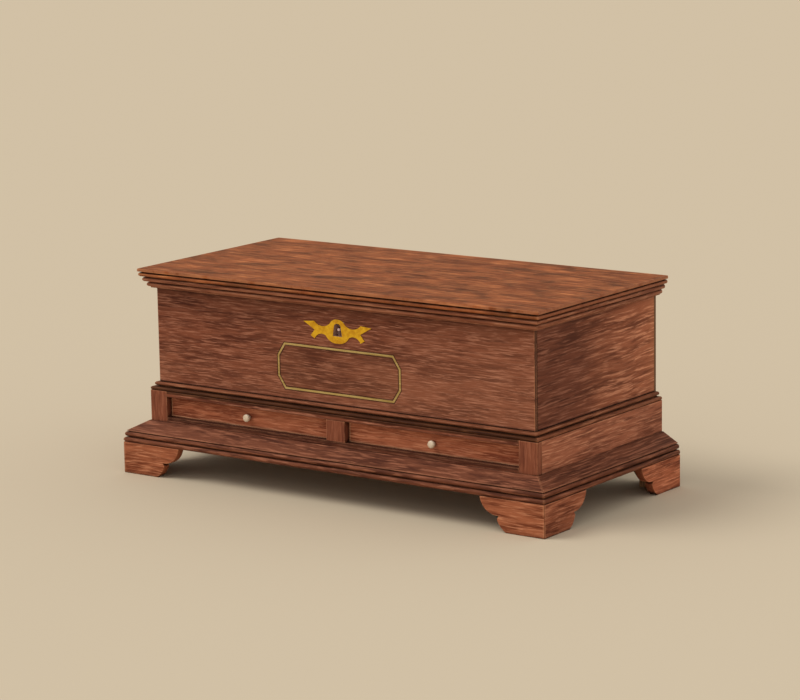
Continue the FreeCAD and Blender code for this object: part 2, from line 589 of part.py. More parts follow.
def drawer_case(parts):
    """The wider case under the chest: sides, back, a mortised front frame, and what the drawers run on."""
    for name, side in SIDES.items():
        parts[f"drawer_case_{name}_side"] = box(side * LOWER_INSIDE_X, side * LOWER_X, FRAME_BACK_Y, BACK_Y,
                                                SEAT_Z, WAIST_Z)
    parts["drawer_case_back"] = box(-LOWER_INSIDE_X, LOWER_INSIDE_X, LOWER_BACK_Y, BACK_Y, SEAT_Z, WAIST_Z)

    tenon_y = LOWER_Y + (FRAME_THICKNESS - TENON_THICKNESS) / 2
    tenon_x = OPENING_X + TENON_LENGTH
    stub_x = CENTRE_X - TENON_SHOULDER
    centre_stile = box(-CENTRE_X, CENTRE_X, LOWER_Y, FRAME_BACK_Y, OPENING_Z, OPENING_TOP_Z)
    stub = box(-stub_x, stub_x, tenon_y, tenon_y + TENON_THICKNESS,
               OPENING_Z - STUB_TENON, OPENING_TOP_Z + STUB_TENON)
    parts["centre_stile"] = centre_stile.fuse(stub).removeSplitter()
    rails = {
        "top_rail": (LOWER_Y + TOP_RAIL_DEPTH, OPENING_TOP_Z, WAIST_Z),
        "bottom_rail": (FRAME_BACK_Y, SEAT_Z, OPENING_Z),
    }
    for name, (back_y, low_z, high_z) in rails.items():
        rail = box(-OPENING_X, OPENING_X, LOWER_Y, back_y, low_z, high_z)
        tenon = box(-tenon_x, tenon_x, tenon_y, tenon_y + TENON_THICKNESS, low_z + TENON_SHOULDER,
                    high_z - TENON_SHOULDER)
        parts[name] = rail.fuse(tenon).removeSplitter().cut(parts["centre_stile"])
    for name, side in SIDES.items():
        stile = box(side * OPENING_X, side * LOWER_X, LOWER_Y, FRAME_BACK_Y, SEAT_Z, WAIST_Z)
        parts[f"{name}_stile"] = cut_all(stile, parts["top_rail"], parts["bottom_rail"])

    tracks = {"left": (-LOWER_INSIDE_X, -OPENING_X, -OPENING_X + RUNNER_LEDGE),
              "centre": (-CENTRE_X, CENTRE_X, CENTRE_X + RUNNER_LEDGE),
              "right": (LOWER_INSIDE_X, OPENING_X, OPENING_X - RUNNER_LEDGE)}
    runners = []
    guides = []
    kickers = []
    for name, (wall_x, guide_x, ledge_x) in tracks.items():
        outer_x = -ledge_x if name == "centre" else wall_x
        runners.append(box(outer_x, ledge_x, FRAME_BACK_Y, LOWER_BACK_Y,
                           OPENING_Z - RUNNER_THICKNESS, OPENING_Z))
        guides.append(box(wall_x, guide_x, FRAME_BACK_Y, LOWER_BACK_Y, OPENING_Z, OPENING_Z + GUIDE_HEIGHT))
        kickers.append(box(outer_x, ledge_x, LOWER_Y + TOP_RAIL_DEPTH, LOWER_BACK_Y, OPENING_TOP_Z, WAIST_Z))
    parts["drawer_runners"] = Part.makeCompound(runners)
    parts["drawer_guides"] = Part.makeCompound(guides)
    parts["drawer_kickers"] = Part.makeCompound(kickers)


def tail_waste(x0, x1, y_root, y_end, z0, z1):
    """What is sawn away between the dovetails at the end of a drawer side, between two heights."""
    depth = y_end - y_root
    flare = abs(depth) * tan(radians(TAIL_SLOPE))
    pitch = (z1 - z0) / TAIL_COUNT
    waste = box(x0, x1, min(y_root, y_end), max(y_root, y_end), z0, z1)
    for index in range(TAIL_COUNT):
        middle = z0 + (index + 0.5) * pitch
        root = pitch / 4
        points = [(y_root, middle - root), (y_end, middle - root - flare), (y_end, middle + root + flare),
                  (y_root, middle + root)]
        tail = outline_face(lambda y, z: Vector(min(x0, x1), y, z), points[0], points[1:])
        waste = waste.cut(tail.extrude(Vector(abs(x1 - x0), 0, 0)))
    return waste


def knob(x, y, z):
    """A turned button knob on a shank that goes through the drawer front; y is the front's face."""
    rim = KNOB_NECK + KNOB_RIM
    half_outline = [
        (KNOB_SHANK_RADIUS, -DRAWER_FRONT),
        (KNOB_SHANK_RADIUS, 0),
        (KNOB_NECK_RADIUS, 0),
        (KNOB_NECK_RADIUS, KNOB_NECK),
        (KNOB_RADIUS, KNOB_NECK),
        (KNOB_RADIUS, rim),
        (KNOB_FACE_RADIUS, rim + KNOB_BEVEL),
        (0, rim + KNOB_BEVEL),
    ]
    face = outline_face(lambda r, out: Vector(x, y - out, z + r), (0, -DRAWER_FRONT), half_outline)
    return face.revolve(Vector(x, y, z), Vector(0, 1, 0), 360)


def drawer(parts, name, x0, x1):
    """One drawer between two edges of its opening: dovetailed sides, a grooved bottom and a knob."""
    left_x = x0 + DRAWER_GAP
    right_x = x1 - DRAWER_GAP
    face_y = LOWER_Y + DRAWER_RECESS
    inner_y = face_y + DRAWER_FRONT
    rear_y = LOWER_BACK_Y - DRAWER_REAR_SPACE
    back_y = rear_y - DRAWER_BACK
    low_z = OPENING_Z + DRAWER_RUN_CLEARANCE
    front_top_z = OPENING_TOP_Z - DRAWER_TOP_GAP
    side_top_z = front_top_z - DRAWER_SIDE_DROP
    back_top_z = side_top_z - DRAWER_BACK_DROP
    bottom_z = low_z + DRAWER_BOTTOM_RISE
    bottom_top_z = bottom_z + DRAWER_BOTTOM

    front = box(left_x, right_x, face_y, inner_y, low_z, front_top_z)
    back = box(left_x, right_x, back_y, rear_y, bottom_top_z, back_top_z)
    reach = DRAWER_SIDE - DRAWER_GROOVE
    bottom = box(left_x + reach, right_x - reach, inner_y - DRAWER_GROOVE, rear_y, bottom_z, bottom_top_z)
    edges = {"left": (left_x, left_x + DRAWER_SIDE), "right": (right_x, right_x - DRAWER_SIDE)}
    for side, (edge_x, inside_x) in edges.items():
        board = box(edge_x, inside_x, inner_y - TAIL_DEPTH, rear_y, low_z, side_top_z)
        front_waste = tail_waste(edge_x, inside_x, inner_y, inner_y - TAIL_DEPTH, low_z, side_top_z)
        back_waste = tail_waste(edge_x, inside_x, back_y, rear_y, bottom_top_z, back_top_z)
        board = cut_all(board, front_waste, back_waste, bottom)
        parts[f"{name}_drawer_{side}_side"] = board
        front = front.cut(board)
        back = back.cut(board)
    parts[f"{name}_drawer_knob"] = knob((left_x + right_x) / 2, face_y, (low_z + front_top_z) / 2)
    parts[f"{name}_drawer_front"] = cut_all(front, bottom, parts[f"{name}_drawer_knob"])
    parts[f"{name}_drawer_back"] = back
    parts[f"{name}_drawer_bottom"] = bottom


def upper_chest(parts):
    """Four rebated boards round a floor that is let into them, with the line let into the front."""
    floor = box(-INSIDE_X - FLOOR_HOUSING, INSIDE_X + FLOOR_HOUSING, INSIDE_FRONT_Y - FLOOR_HOUSING,
                INSIDE_BACK_Y + FLOOR_HOUSING, WAIST_Z, WAIST_Z + FLOOR_THICKNESS)
    parts["chest_floor"] = floor
    front = box(-CASE_X, CASE_X, FRONT_Y, INSIDE_FRONT_Y, WAIST_Z, LID_Z)
    back = box(-CASE_X, CASE_X, INSIDE_BACK_Y, BACK_Y, WAIST_Z, LID_Z)
    for name, side in SIDES.items():
        board = box(side * INSIDE_X, side * CASE_X, FRONT_Y + CORNER_LIP, BACK_Y - CORNER_LIP,
                    WAIST_Z, LID_Z)
        front = front.cut(board)
        back = back.cut(board)
        parts[f"{name}_side_board"] = board.cut(floor)
    line = line_oblong(0).cut(line_oblong(LINE_WIDTH))
    parts["front_line"] = line
    parts["front_board"] = cut_all(front, floor, line)
    parts["back_board"] = back.cut(floor)


def build():
    """Every piece of the chest, by name."""
    parts = {}
    upper_chest(parts)
    keyhole_plate(parts)
    parts["lid_board"] = lid_board()
    hinges(parts)
    lock(parts)
    for group, runs in (("lid", lid_mouldings()), ("waist", waist_mouldings()), ("base", base_mouldings())):
        for place, run in runs.items():
            parts[f"{group}_{place}_moulding"] = run
    drawer_case(parts)
    drawer(parts, "left", -OPENING_X, -CENTRE_X)
    drawer(parts, "right", CENTRE_X, OPENING_X)
    rail_x = CASE_X - BASE_INSET
    parts["base_back_rail"] = box(-rail_x, rail_x, BACK_Y - BASE_INSET * 2, BACK_Y, BASE_Z, SEAT_Z)
    feet(parts)
    return parts


os.makedirs("parts", exist_ok=True)
for node, shape in build().items():
    shape.exportStep(f"parts/{node}.step")
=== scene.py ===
from math import cos, pi, radians, sin

import bmesh
import bpy
from mathutils import Matrix, Vector


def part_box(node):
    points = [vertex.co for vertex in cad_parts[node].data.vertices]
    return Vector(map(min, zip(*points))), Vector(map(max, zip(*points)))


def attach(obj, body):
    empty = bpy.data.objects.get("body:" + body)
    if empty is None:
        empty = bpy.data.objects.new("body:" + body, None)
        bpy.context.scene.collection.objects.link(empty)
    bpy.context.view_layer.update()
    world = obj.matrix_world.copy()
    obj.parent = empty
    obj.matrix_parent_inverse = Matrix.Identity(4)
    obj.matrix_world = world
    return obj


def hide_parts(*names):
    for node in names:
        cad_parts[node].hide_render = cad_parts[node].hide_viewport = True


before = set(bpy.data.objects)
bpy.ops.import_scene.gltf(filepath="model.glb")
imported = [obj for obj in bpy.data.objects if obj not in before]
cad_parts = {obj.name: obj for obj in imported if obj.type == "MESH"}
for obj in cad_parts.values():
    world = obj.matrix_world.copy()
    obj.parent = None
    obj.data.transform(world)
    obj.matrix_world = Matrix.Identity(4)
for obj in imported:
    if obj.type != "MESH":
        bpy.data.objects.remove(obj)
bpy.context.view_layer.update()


# Bracket feet: two boards at each corner, sawn to a scroll along the free end and mitred at the corner.
# Red-brown stained soft wood with short brushed streaks. The front feet show both scrolled faces, the back
# feet have a scroll on the side only, and a glued block stands in each corner.

def shade(red, green, blue):
    """A colour given as it shows on a screen, 0 to 255, as the linear colour that a shader takes."""
    linear = []
    for value in (red, green, blue):
        part = value / 255
        linear.append(part / 12.92 if part <= 0.04045 else ((part + 0.055) / 1.055) ** 2.4)
    return (*linear, 1.0)


def stain(dark, middle, light):
    """The three screen colours of one wood: its deep streaks, its body and its rubbed streaks."""
    return shade(*dark), shade(*middle), shade(*light)


def fill_sockets(tree, node, sockets):
    """The node, with each of its named inputs linked from an output or set to a value."""
    for key, value in dict(sockets).items():
        if isinstance(value, bpy.types.NodeSocket):
            tree.links.new(value, node.inputs[key])
        else:
            node.inputs[key].default_value = value
    return node


def add_node(tree, kind, sockets=(), **settings):
    """A new node with its settings and inputs."""
    node = tree.nodes.new("ShaderNode" + kind)
    for key, value in settings.items():
        setattr(node, key, value)
    return fill_sockets(tree, node, sockets)


def new_group(name, inputs, outputs):
    """An empty shader group with its sockets, and its two end nodes."""
    group = bpy.data.node_groups.new(name, "ShaderNodeTree")
    for label, kind in inputs:
        group.interface.new_socket(label, in_out="INPUT", socket_type="NodeSocket" + kind)
    for label, kind in outputs:
        group.interface.new_socket(label, in_out="OUTPUT", socket_type="NodeSocket" + kind)
    entry = group.nodes.new("NodeGroupInput")
    leave = group.nodes.new("NodeGroupOutput")
    return group, entry, leave


def place_group(tree, group, sockets):
    """One use of a shared group, with its own values."""
    node = tree.nodes.new("ShaderNodeGroup")
    node.node_tree = group
    return fill_sockets(tree, node, sockets)


def arithmetic(tree, operation, first, second):
    """One sum of two values."""
    return add_node(tree, "Math", {0: first, 1: second}, operation=operation).outputs[0]


def vector_sum(tree, operation, first, second=(0.0, 0.0, 0.0)):
    """One sum of two vectors, or of one where the operation takes no second."""
    return add_node(tree, "VectorMath", {0: first, 1: second}, operation=operation).outputs[0]


def step_between(tree, value, low, high):
    """A soft step from 0 at low to 1 at high."""
    sockets = {"Value": value, "From Min": low, "From Max": high}
    return add_node(tree, "MapRange", sockets, interpolation_type="SMOOTHSTEP").outputs["Result"]


def blend_colours(tree, share, first, second, mode="MIX"):
    """Two colours mixed by a share, through the colour sockets of a Mix node."""
    first_socket, second_socket, mixed_socket = 6, 7, 2
    sockets = {"Factor": share, first_socket: first, second_socket: second}
    return add_node(tree, "Mix", sockets, data_type="RGBA", blend_type=mode).outputs[mixed_socket]


def lay_over(tree, colour, tint, mask, strength):
    """A tint laid over a colour where a mask lies, as strongly as told."""
    return blend_colours(tree, arithmetic(tree, "MULTIPLY", mask, strength), colour, tint)


def make_streaky_grain():
    """Brushed stain over long grain: broad bands, short light and dark streaks, and fine fibres along X."""
    group, entry, leave = new_group(
        "streaky_grain",
        [("Vector", "Vector"), ("Dark", "Color"), ("Middle", "Color"), ("Light", "Color")],
        [("Color", "Color"), ("Height", "Float")],
    )
    sway_width = (0.0, 0.016, 0.016)
    layer_sizes = {
        "band": ((3.5, 24.0, 24.0), 2.0),
        "streak": ((10.0, 140.0, 140.0), 3.0),
        "fleck": ((13.0, 215.0, 215.0), 3.0),
        "fibre": ((40.0, 900.0, 900.0), 2.0),
    }
    band_share = 0.45
    streak_share = 0.55
    fibre_darkening = 0.22
    fibre_height = 0.6
    tone_height = 0.8
    place = entry.outputs["Vector"]
    dark = entry.outputs["Dark"]
    sway = add_node(group, "TexNoise", {"Vector": place, "Scale": 5.0, "Detail": 2.0})
    centred = vector_sum(group, "SUBTRACT", sway.outputs["Color"], (0.5, 0.5, 0.5))
    swayed = vector_sum(group, "ADD", place, vector_sum(group, "MULTIPLY", centred, sway_width))
    layer = {}
    for label, (stretch, detail) in layer_sizes.items():
        spread = add_node(group, "Mapping", {"Vector": swayed, "Scale": stretch, "Location": stretch})
        noise = add_node(
            group, "TexNoise",
            {"Vector": spread.outputs[0], "Scale": 1.0, "Detail": detail, "Roughness": 0.6},
        )
        layer[label] = noise.outputs["Fac"]
    band = arithmetic(group, "MULTIPLY", layer["band"], band_share)
    streak = arithmetic(group, "MULTIPLY", layer["streak"], streak_share)
    tone = arithmetic(group, "ADD", band, streak)
    body = blend_colours(group, step_between(group, tone, 0.37, 0.59), dark, entry.outputs["Middle"])
    rubbed = step_between(group, layer["fleck"], 0.47, 0.69)
    streaked = blend_colours(group, rubbed, body, entry.outputs["Light"])
    fine = step_between(group, layer["fibre"], 0.30, 0.62)
    between_fibres = blend_colours(group, fibre_darkening, streaked, dark)
    coloured = blend_colours(group, fine, between_fibres, streaked)
    fibres_up = arithmetic(group, "MULTIPLY", fine, fibre_height)
    height = arithmetic(group, "ADD", fibres_up, arithmetic(group, "MULTIPLY", tone, tone_height))
    group.links.new(coloured, leave.inputs["Color"])
    group.links.new(height, leave.inputs["Height"])
    return group


def make_end_grain():
    """A mask for the faces cut across the grain, from a normal that was turned with the grain."""
    group, entry, leave = new_group("end_grain", [("Normal", "Vector")], [("Mask", "Float")])
    split = add_node(group, "SeparateXYZ", {0: entry.outputs["Normal"]})
    facing = add_node(group, "Math", {0: split.outputs["X"]}, operation="ABSOLUTE")
    group.links.new(step_between(group, facing.outputs[0], 0.35, 0.65), leave.inputs["Mask"])
    return group


def make_worn_arris():
    """Where handling has rubbed the sharp outer edges: a broken mask along convex edges."""
    group, entry, leave = new_group(
        "worn_arris", [("Vector", "Vector"), ("Width", "Float")], [("Mask", "Float")]
    )
    inward = add_node(
        group, "AmbientOcclusion", {"Distance": entry.outputs["Width"]},
        inside=True, only_local=True, samples=8,
    )
    edge = step_between(group, inward.outputs["AO"], 0.86, 0.52)
    patches = add_node(group, "TexNoise", {"Vector": entry.outputs["Vector"], "Scale": 38.0, "Detail": 3.0})
    broken = step_between(group, patches.outputs["Fac"], 0.28, 0.52)
    group.links.new(arithmetic(group, "MULTIPLY", edge, broken), leave.inputs["Mask"])
    return group


def make_grime_and_painted_shade():
    """Darkening in the corners and under the mouldings: settled soiling and old polish, and painted shade.
    """
    group, entry, leave = new_group(
        "grime_and_painted_shade", [("Vector", "Vector"), ("Reach", "Float")], [("Mask", "Float")]
    )
    outward = add_node(group, "AmbientOcclusion", {"Distance": entry.outputs["Reach"]}, samples=8)
    corner = step_between(group, outward.outputs["AO"], 0.92, 0.40)
    patches = add_node(group, "TexNoise", {"Vector": entry.outputs["Vector"], "Scale": 22.0, "Detail": 3.0})
    uneven = step_between(group, patches.outputs["Fac"], 0.15, 0.60)
    group.links.new(arithmetic(group, "MULTIPLY", corner, uneven), leave.inputs["Mask"])
    return group


def make_graded_mask():
    """A soft, uneven mask that grows in one direction, from one distance along it to another."""
    vectors = [("Vector", "Vector"), ("Direction", "Vector")]
    distances = [("Start", "Float"), ("End", "Float"), ("Drift", "Float")]
    group, entry, leave = new_group("graded_mask", vectors + distances, [("Mask", "Float")])
    place = entry.outputs["Vector"]
    along = add_node(
        group, "VectorMath", {0: place, 1: entry.outputs["Direction"]}, operation="DOT_PRODUCT"
    )
    cloud = add_node(group, "TexNoise", {"Vector": place, "Scale": 7.0, "Detail": 4.0})
    centred = arithmetic(group, "SUBTRACT", cloud.outputs["Fac"], 0.5)
    drift = arithmetic(group, "MULTIPLY", centred, entry.outputs["Drift"])
    reached = arithmetic(group, "ADD", along.outputs["Value"], drift)
    mask = step_between(group, reached, entry.outputs["Start"], entry.outputs["End"])
    group.links.new(mask, leave.inputs["Mask"])
    return group


streaky_grain = make_streaky_grain()
end_grain = make_end_grain()
worn_arris = make_worn_arris()
grime_and_painted_shade = make_grime_and_painted_shade()
graded_mask = make_graded_mask()

along_x = (0.0, 0.0, 0.0)
along_y = (0.0, 0.0, pi / 2)
along_z = (0.0, pi / 2, 0.0)
worn_wood = shade(190, 128, 90)
grime_and_shade_brown = shade(44, 22, 12)


# Graded coats lay stains and joint lines, and in several places painted light or painted shade.
def graded_coat(direction, start, end, drift, tint, mode="MULTIPLY"):
    """A coat that grows in one direction, from one distance along it to another, with a wandering edge."""
    def coat(tree, place, colour):
        grown = place_group(
            tree, graded_mask,
            {"Vector": place, "Direction": direction, "Start": start, "End": end, "Drift": drift},
        )
        return blend_colours(tree, grown.outputs["Mask"], colour, tint, mode)
    return coat


def grain_of(tree, vector, tones):
    """One use of the streaky grain, in the three colours of a wood."""
    dark, middle, light = tones
    sockets = {"Vector": vector, "Dark": dark, "Middle": middle, "Light": light}
    return place_group(tree, streaky_grain, sockets)


def wood_finish(name, turn, tones, coats=(), end_colour=None, over_coats=(), last_coats=(), worn=worn_wood,
                grime_and_shade=grime_and_shade_brown, wear=0.5, dirt_and_shade=0.9, edge=0.005, reach=0.014, stretch=(1.0, 1.0, 1.0)):
    """A wood material: streaky grain under thin coats, rubbed edges, a darkening in the corners that is
    both soiling and painted shade, and a dull sheen.

    turn lays the grain along X, Y or Z. coats lie under the colour of the end grain, over_coats on it, and
    last_coats on the corner darkening. wear and the corner darkening are given as shares; edge and reach
    are the breadths that they take up.
    """
    end_strength = 0.8
    end_soaking = 0.4
    material = bpy.data.materials.new(name)
    material.use_nodes = True
    tree = material.node_tree
    surface = tree.nodes["Principled BSDF"]
    source = add_node(tree, "TexCoord")
    place = source.outputs["Object"]
    turned = add_node(tree, "Mapping", {"Vector": place, "Rotation": turn, "Scale": stretch})
    grain = grain_of(tree, turned.outputs[0], tones)
    colour = grain.outputs["Color"]
    for coat in coats:
        colour = coat(tree, place, colour)
    if end_colour is None:
        dark, middle = tones[:2]
        end_colour = [deep + (body - deep) * end_soaking for deep, body in zip(dark, middle)]
    facing = add_node(
        tree, "Mapping", {"Vector": source.outputs["Normal"], "Rotation": turn}, vector_type="VECTOR"
    )
    cut = place_group(tree, end_grain, {"Normal": facing.outputs[0]})
    colour = lay_over(tree, colour, end_colour, cut.outputs["Mask"], end_strength)
    for coat in over_coats:
        colour = coat(tree, place, colour)
    rubbed = place_group(tree, worn_arris, {"Vector": place, "Width": edge})
    colour = lay_over(tree, colour, worn, rubbed.outputs["Mask"], wear)
    # The corner darkening is partly settled dirt and partly painted shade in corners and under mouldings.
    dirt_and_shade_mask = place_group(tree, grime_and_painted_shade, {"Vector": place, "Reach": reach})
    colour = lay_over(tree, colour, grime_and_shade, dirt_and_shade_mask.outputs["Mask"], dirt_and_shade)
    for coat in last_coats:
        colour = coat(tree, place, colour)
    tree.links.new(colour, surface.inputs["Base Color"])
    height = grain.outputs["Height"]
    gloss = add_node(tree, "MapRange", {"Value": height, "To Min": 0.78, "To Max": 0.60})
    tree.links.new(gloss.outputs["Result"], surface.inputs["Roughness"])
    surface.inputs["Specular IOR Level"].default_value = 0.14
    relief = add_node(tree, "Bump", {"Height": height, "Strength": 0.35, "Distance": 0.0006})
    tree.links.new(relief.outputs["Normal"], surface.inputs["Normal"])
    return material


def dress(node, material, arris=0.0012):
    """Gives a solid its finish and eases its sharp edges by the width of a few strokes of a plane."""
    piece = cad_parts[node]
    piece.data.materials.clear()
    piece.data.materials.append(material)
    weld = piece.modifiers.new("weld", "WELD")
    weld.merge_threshold = 0.00002
    flats = piece.modifiers.new("flats", "DECIMATE")
    flats.decimate_type = "DISSOLVE"
    flats.angle_limit = radians(0.6)
    if arris:
        eased = piece.modifiers.new("eased_edges", "BEVEL")
        eased.width = arris
        eased.segments = 2
        eased.limit_method = "ANGLE"
        eased.angle_limit = radians(40)
        eased.harden_normals = True


foot_arris = 0.0016
to_back = (0.0, 1.0, 0.0)
# Painted light: the sides of the feet get lighter toward the back.
foot_painted_light = graded_coat(to_back, start=-0.10, end=0.20, drift=0.05, tint=(1.45, 1.40, 1.35, 1.0))
foot_along_x = wood_finish("foot_wood_x", along_x, stain((112, 54, 30), (174, 102, 68), (206, 136, 98)))
foot_along_y = wood_finish(
    "foot_wood_y", along_y, stain((98, 46, 27), (160, 91, 61), (196, 126, 92)), coats=(foot_painted_light,)
)
bare_tones = stain((134, 96, 64), (168, 127, 88), (188, 150, 110))
aged_tones = stain((98, 67, 46), (130, 93, 66), (150, 112, 83))
rubbed_bare = bare_tones[-1]
plain_along_x, plain_along_y, plain_along_z = (
    wood_finish(f"plain_wood_{axis}", turn, bare_tones, worn=rubbed_bare, wear=0.3, dirt_and_shade=0.5)
    for axis, turn in (("x", along_x), ("y", along_y), ("z", along_z))
)
aged_along_x = wood_finish("aged_wood_x", along_x, aged_tones, worn=rubbed_bare, wear=0.3, dirt_and_shade=0.6)
for side in ("left", "right"):
    dress(f"front_{side}_foot_front", foot_along_x, foot_arris)
    dress(f"front_{side}_foot_side", foot_along_y, foot_arris)
    dress(f"back_{side}_foot_side", foot_along_y, foot_arris)
    dress(f"back_{side}_foot_back", aged_along_x, foot_arris)
dress("foot_blocks", plain_along_z)


# Base mouldings: a mitred frame with a wide slope above two reeds, which the drawer case stands in.
# Stained darker than the feet, with dirt and painted shade along the grooves. A plain rail closes the back.

moulding_arris = 0.0008
moulding_wear_and_shade = {"wear": 0.25, "dirt_and_shade": 0.62, "reach": 0.010}
base_tones = stain((80, 40, 25), (122, 69, 46), (160, 100, 72))
base_along_x, base_along_y = (
    wood_finish(f"base_wood_{axis}", turn, base_tones, stretch=(1.0, 0.7, 0.7), **moulding_wear_and_shade)
    for axis, turn in (("x", along_x), ("y", along_y))
)
dress("base_front_moulding", base_along_x, moulding_arris)
for side in ("left", "right"):
    dress(f"base_{side}_moulding", base_along_y, moulding_arris)
dress("base_back_rail", aged_along_x)


# Drawer case: two sides, a back, rails above and below, and three stiles that frame the drawers.
# The outside is stained like the chest above, with dirt and painted shade in the drawer openings and
# painted shade on the rails under the waist moulding and under the drawers; the back, and the runners,
# guides and kickers inside, are bare wood.

def make_bare_inside():
    """A mask for the faces inside a box, which the stain never reached, with a slightly uneven border."""
    group, entry, leave = new_group(
        "bare_inside", [("Vector", "Vector"), ("Centre", "Vector"), ("Half", "Vector")], [("Mask", "Float")]
    )
    border_width = 0.003
    place = entry.outputs["Vector"]
    away = vector_sum(group, "ABSOLUTE", vector_sum(group, "SUBTRACT", place, entry.outputs["Centre"]))
    beyond = vector_sum(group, "SUBTRACT", away, entry.outputs["Half"])
    split = add_node(group, "SeparateXYZ", {0: beyond})
    furthest = arithmetic(group, "MAXIMUM", split.outputs["X"], split.outputs["Y"])
    furthest = arithmetic(group, "MAXIMUM", furthest, split.outputs["Z"])
    wander = add_node(group, "TexNoise", {"Vector": place, "Scale": 30.0, "Detail": 2.0})
    border = arithmetic(group, "MULTIPLY", wander.outputs["Fac"], border_width)
    mask = step_between(group, arithmetic(group, "ADD", furthest, border), 0.0055, 0.0035)
    group.links.new(mask, leave.inputs["Mask"])
    return group


bare_inside = make_bare_inside()


def inside_mask(tree, place, room):
    """The mask of the faces inside a room, which is given by its lowest and highest corners."""
    low, high = room
    sockets = {"Vector": place, "Centre": (low + high) / 2, "Half": (high - low) / 2}
    return place_group(tree, bare_inside, sockets).outputs["Mask"]


def tinted_inside(room, tint, strength):
    """A coat of one colour on the faces inside a room."""
    def coat(tree, place, colour):
        return lay_over(tree, colour, tint, inside_mask(tree, place, room), strength)
    return coat


def bare_within(room, turn):
    """A coat that leaves the wood bare on the faces inside a room."""
    def coat(tree, place, colour):
        turned = add_node(tree, "Mapping", {"Vector": place, "Rotation": turn})
        raw = grain_of(tree, turned.outputs[0], bare_tones)
        return blend_colours(tree, inside_mask(tree, place, room), colour, raw.outputs["Color"])
    return coat


case_tones = stain((88, 41, 25), (136, 76, 52), (178, 116, 89))
case_side_tones = stain((120, 66, 46), (176, 106, 76), (206, 138, 104))
stile_tones = stain((112, 59, 40), (140, 79, 54), (160, 97, 70))
drawer_room = (Vector((-0.6375, -0.2700, 0.1000)), Vector((0.6375, 0.3215, 0.2600)))
opening_end = Vector((0.6100, -0.2000, 0.2265))
both_openings = (Vector((-0.6100, -0.2945, 0.1655)), opening_end)
right_opening = (Vector((0.0320, -0.2945, 0.1655)), opening_end)
# Dirt and painted shade inside the drawer openings, on their jambs and ledges.
opening_dirt_and_shade = 0.30
dark_openings = tinted_inside(both_openings, grime_and_shade_brown, opening_dirt_and_shade)
dark_right_opening = tinted_inside(right_opening, grime_and_shade_brown, opening_dirt_and_shade)
upward = (0.0, 0.0, 1.0)
shadow_brown = shade(150, 142, 120)
# Painted shade on the top rail under the waist moulding, and on the bottom rail under the drawers.
painted_shade_under_moulding = graded_coat(upward, start=0.2335, end=0.2370, drift=0.002, tint=shadow_brown)
painted_shade_under_drawers = graded_coat(upward, start=0.1480, end=0.1630, drift=0.002, tint=(0.38, 0.36, 0.34, 1.0))
case_side_wood = wood_finish(
    "drawer_case_wood_y", along_y, case_side_tones, over_coats=(bare_within(drawer_room, along_y),)
)
bottom_rail_wood = wood_finish(
    "drawer_case_wood_x", along_x, case_tones, coats=(painted_shade_under_drawers,),
    over_coats=(dark_openings, bare_within(drawer_room, along_x)),
)
top_rail_wood = wood_finish(
    "top_rail_wood", along_x, case_tones, coats=(painted_shade_under_moulding,),
    over_coats=(dark_openings, bare_within(drawer_room, along_x)), wear=0.2,
)
outer_stile_wood = wood_finish(
    "drawer_case_wood_z", along_z, stile_tones,
    over_coats=(dark_openings, bare_within(drawer_room, along_z)), wear=0.7,
)
centre_stile_wood = wood_finish(
    "centre_stile_wood_z", along_z, stile_tones,
    over_coats=(dark_right_opening, bare_within(drawer_room, along_z)), wear=0.7,
)
for side in ("left", "right"):
    dress(f"drawer_case_{side}_side", case_side_wood)
    dress(f"{side}_stile", outer_stile_wood)
dress("drawer_case_back", aged_along_x)
dress("top_rail", top_rail_wood)
dress("bottom_rail", bottom_rail_wood)
dress("centre_stile", centre_stile_wood)
for support in ("drawer_runners", "drawer_guides", "drawer_kickers"):
    dress(support, plain_along_y)


# Waist mouldings: three mitred strips that hide the step from the chest to the wider drawer case.
# Each is two reeds with a groove between, nailed on and stained with the rest. On the front, the lower reed
# is darkened with painted shade, as if in the shadow of the upper one.

moulding_tones = stain((96, 50, 30), (142, 84, 56), (172, 112, 80))
downward = (0.0, 0.0, -1.0)
# Painted shade on the lower reed of the front moulding.
lower_reed_painted_shade = graded_coat(downward, start=-0.2550, end=-0.2530, drift=0.0, tint=shadow_brown)
waist_along_x = wood_finish(
    "waist_wood_x", along_x, moulding_tones, coats=(lower_reed_painted_shade,), **moulding_wear_and_shade
)
waist_along_y = wood_finish("moulding_wood_y", along_y, moulding_tones, **moulding_wear_and_shade)
dress("waist_front_moulding", waist_along_x, moulding_arris)
for side in ("left", "right"):
    dress(f"waist_{side}_moulding", waist_along_y, moulding_arris)


# Chest: four wide boards rabbeted and nailed round a floor. Outside they carry the brushed red-brown stain,
# with painted shade high on the front under the lid and painted light low on the front and toward the back
# of the sides; inside, the wood is bare and has only aged.

line_low, line_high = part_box("front_line")
line_corner_x = 0.024
line_corner_z = 0.036


